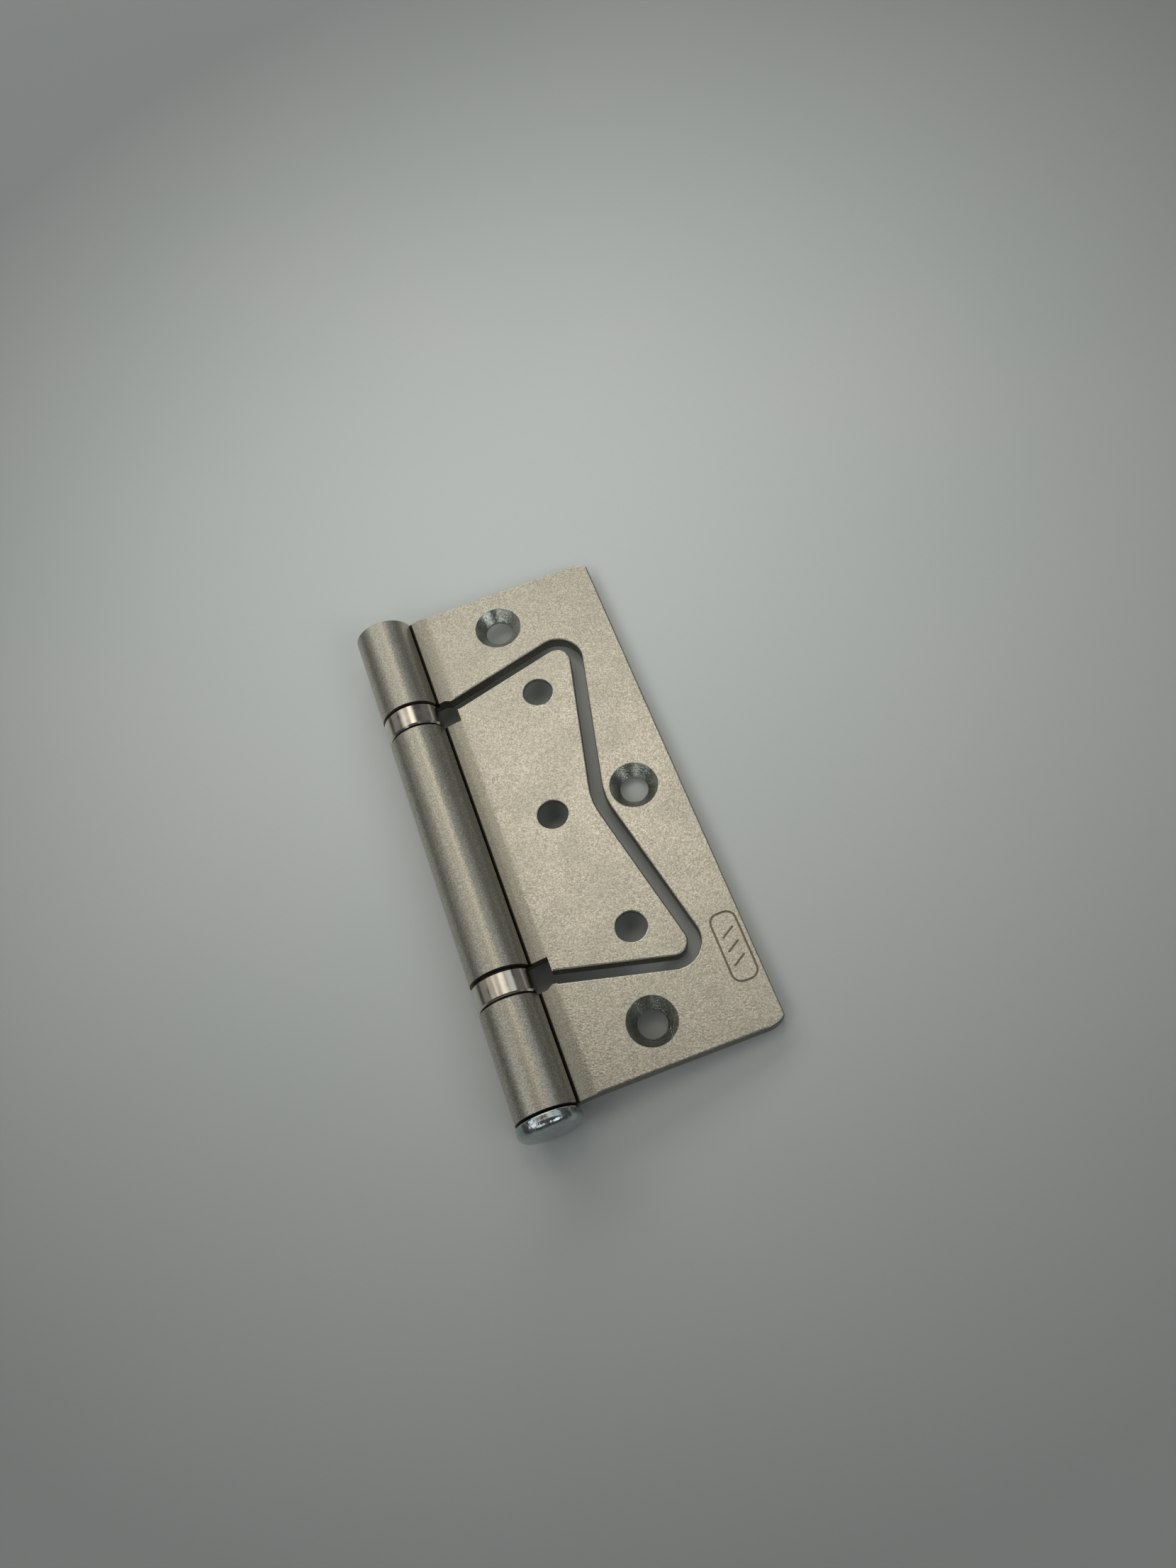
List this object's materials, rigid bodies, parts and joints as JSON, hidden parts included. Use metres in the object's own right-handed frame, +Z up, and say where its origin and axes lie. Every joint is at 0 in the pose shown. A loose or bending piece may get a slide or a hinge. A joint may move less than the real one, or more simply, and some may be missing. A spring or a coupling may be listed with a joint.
{
  "type": "door hinge",
  "caption": "Flush butterfly door hinge: an inner leaf nested in the window of an outer leaf, both curled round a headed pin with ball bearings between the knuckles.",
  "frame": {"origin": "bottom centre of the box round the closed hinge; the pin axis is 18.4 mm to -X of it and 5.75 mm above it", "axes": "+Y along the pin, from the pin head to the plain end; +X from the barrel to the free edge of the leaves; +Z up, the side the outer leaf's countersinks face"},
  "size_m": [0.0484, 0.1036, 0.0115],
  "materials": {
    "satin_nickel": "sandblasted satin nickel plate on steel",
    "polished_nickel": "polished turned nickel plate",
    "zinc_pin": "bright blue-white zinc plate",
    "race_steel": "oiled hardened steel",
    "ball_steel": "polished bearing steel"
  },
  "bodies": {
    "frame_side": {"outer_leaf": "satin_nickel", "hinge_pin": "zinc_pin", "upper_bearing_sleeve": "polished_nickel", "lower_bearing_sleeve": "polished_nickel", "upper_outer_leaf_race": "race_steel", "lower_outer_leaf_race": "race_steel"},
    "door_side": {"inner_leaf": "satin_nickel", "upper_inner_leaf_race": "race_steel", "lower_inner_leaf_race": "race_steel"},
    "upper_balls": {"upper_ball_set": "ball_steel"},
    "lower_balls": {"lower_ball_set": "ball_steel"}
  },
  "joints": [
    {"name": "leaf_swing", "type": "hinge", "parent": "frame_side", "child": "door_side", "pos_m": [-0.01843, 0.00175, 0.00575], "axis": [0, -1, 0], "range_deg": [0, 180]},
    {"name": "upper_ball_orbit", "type": "hinge", "parent": "frame_side", "child": "upper_balls", "pos_m": [-0.01843, 0.02955, 0.00575], "axis": [0, -1, 0], "range_deg": [0, 90]},
    {"name": "lower_ball_orbit", "type": "hinge", "parent": "frame_side", "child": "lower_balls", "pos_m": [-0.01843, -0.02605, 0.00575], "axis": [0, -1, 0], "range_deg": [0, 90]}
  ],
  "couplings": [
    {"joint": "upper_ball_orbit", "follows": "leaf_swing", "ratio": 0.5},
    {"joint": "lower_ball_orbit", "follows": "leaf_swing", "ratio": 0.5}
  ]
}
